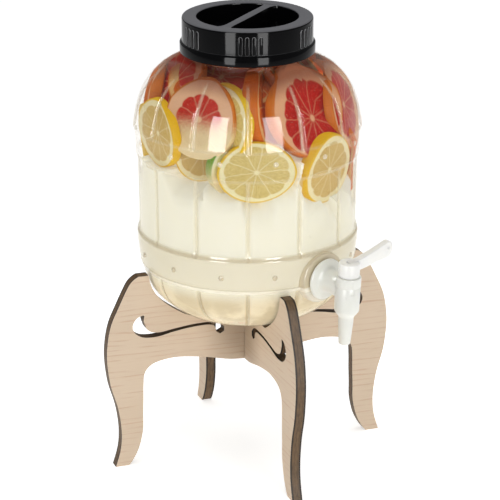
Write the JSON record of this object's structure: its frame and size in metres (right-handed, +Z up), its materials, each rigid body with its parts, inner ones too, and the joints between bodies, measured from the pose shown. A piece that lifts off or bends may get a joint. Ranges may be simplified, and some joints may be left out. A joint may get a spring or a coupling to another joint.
{
  "type": "beverage dispenser",
  "caption": "Clear barrel-shaped drink dispenser jar with a black screw lid and a white lever tap, standing on a crossed-board wooden stand with curved legs.",
  "frame": {"origin": "on the floor, on the jar's own axis, midway between the four feet", "axes": "+Z up; the stand's boards lie along X and Y; the tap leaves the jar between -Y and +X, 68.2 degrees from +X toward -Y"},
  "size_m": [0.2542, 0.2542, 0.3845],
  "materials": {
    "stand_panel_side": "printed pale oak faces, dark laser-cut edges",
    "stand_panel_front": "printed pale oak faces, dark laser-cut edges",
    "jar_body": "clear moulded plastic, glossy",
    "lid": "black, satin to glossy",
    "lid_seal": "soft foam, matt",
    "tap_body": "milky white, satin",
    "tap_lever_plug": "milky white, satin",
    "tap_outer_washer": "soft, matt",
    "tap_inner_washer": "soft, matt",
    "tap_nut": "white, satin",
    "plug_seals": "soft, matt"
  },
  "bodies": {
    "stand": {"stand_panel_side": "stand_panel_side", "stand_panel_front": "stand_panel_front"},
    "jar": {"jar_body": "jar_body", "tap_body": "tap_body", "tap_outer_washer": "tap_outer_washer", "tap_inner_washer": "tap_inner_washer", "tap_nut": "tap_nut"},
    "seal": {"lid_seal": "lid_seal"},
    "lid": {"lid": "lid"},
    "lever": {"tap_lever_plug": "tap_lever_plug", "plug_seal_upper": "plug_seals", "plug_seal_lower": "plug_seals"}
  },
  "joints": [
    {"name": "jar_lift", "type": "slide", "parent": "stand", "child": "jar", "axis": [0, 0, 1], "range_m": [0, 0.09]},
    {"name": "lid_lift", "type": "slide", "parent": "jar", "child": "seal", "axis": [0, 0, 1], "range_m": [0, 0.033]},
    {"name": "lid_turn", "type": "hinge", "parent": "seal", "child": "lid", "pos_m": [0, 0, 0.37], "axis": [0, 0, 1], "range_deg": [0, 2304]},
    {"name": "tap_lever", "type": "hinge", "parent": "jar", "child": "lever", "pos_m": [0.04543, -0.11358, 0.17898], "axis": [-0.0259, 0.0648, -0.9976], "range_deg": [0, 90]}
  ],
  "couplings": [
    {"joint": "lid_lift", "follows": "lid_turn", "m_per_rad": 0.00079577}
  ]
}
